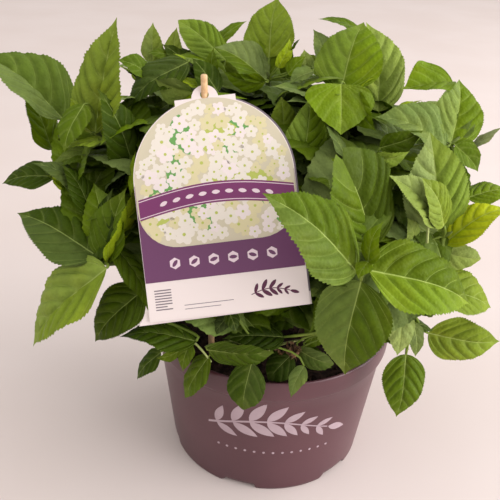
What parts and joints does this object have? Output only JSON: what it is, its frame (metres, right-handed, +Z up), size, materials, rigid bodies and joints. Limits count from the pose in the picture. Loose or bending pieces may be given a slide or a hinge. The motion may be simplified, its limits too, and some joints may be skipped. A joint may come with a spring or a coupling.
{
  "type": "potted hydrangea shrub",
  "caption": "Compact leafy hydrangea shrub without blooms, in a round plastic nursery pot of compost, with a care card on a stick.",
  "frame": {"origin": "middle of the pot's flat underside, at the level of the surface it stands on", "axes": "+Z up along the pot's axis, -Y towards the front, which is the side with the care card, +X to the right seen from the front"},
  "size_m": [0.465, 0.4062, 0.427],
  "materials": {
    "pot_plastic": "dusky plum moulded polypropylene, satin, slightly scuffed",
    "compost": "dark, damp, crumbly bark and peat compost",
    "stem_bark": "buff woody stems, finely ridged bark with nodes",
    "bough_green": "smooth green shoots speckled with brown",
    "foliage": "broad toothed leaves, quilted between pale veins, satin",
    "card": null,
    "bamboo": "split bamboo stick, pale, fine grain"
  },
  "bodies": {
    "root": {"pot": "pot_plastic", "compost": "compost", "card_stick": "bamboo", "care_card": "card", "stem_1": "stem_bark", "stem_2": "stem_bark", "stem_3": "stem_bark", "stem_4": "stem_bark", "stem_5": "stem_bark", "stem_6": "stem_bark", "bough_front_right": "bough_green", "bough_right_upper": "bough_green", "bough_right_top": "bough_green", "bough_right_lower": "bough_green", "bough_top_right": "bough_green", "bough_top_middle": "bough_green", "bough_top_left": "bough_green", "bough_left_back_top": "bough_green", "bough_left_top": "bough_green", "bough_left_outer": "bough_green", "bough_left_middle": "bough_green", "bough_left_front": "bough_green", "bough_left_lower": "bough_green", "bough_front_inner": "bough_green", "bough_middle_left": "bough_green", "bough_middle_right": "bough_green", "bough_back_right_top": "bough_green", "bough_back_top": "bough_green", "bough_back_left_top": "bough_green", "bough_back_right": "bough_green", "bough_back": "bough_green", "bough_back_left": "bough_green", "bough_left_back": "bough_green", "foliage_front_right": "foliage", "foliage_right_upper": "foliage", "foliage_right_top": "foliage", "foliage_right_lower": "foliage", "foliage_top_right": "foliage", "foliage_top_middle": "foliage", "foliage_top_left": "foliage", "foliage_left_back_top": "foliage", "foliage_left_top": "foliage", "foliage_left_outer": "foliage", "foliage_left_middle": "foliage", "foliage_left_front": "foliage", "foliage_left_lower": "foliage", "foliage_front_lower": "foliage", "foliage_front_inner": "foliage", "foliage_middle_left": "foliage", "foliage_middle_right": "foliage", "foliage_back_right_top": "foliage", "foliage_back_top": "foliage", "foliage_back_left_top": "foliage", "foliage_back_right": "foliage", "foliage_back": "foliage", "foliage_back_left": "foliage", "foliage_left_back": "foliage"}
  },
  "joints": []
}
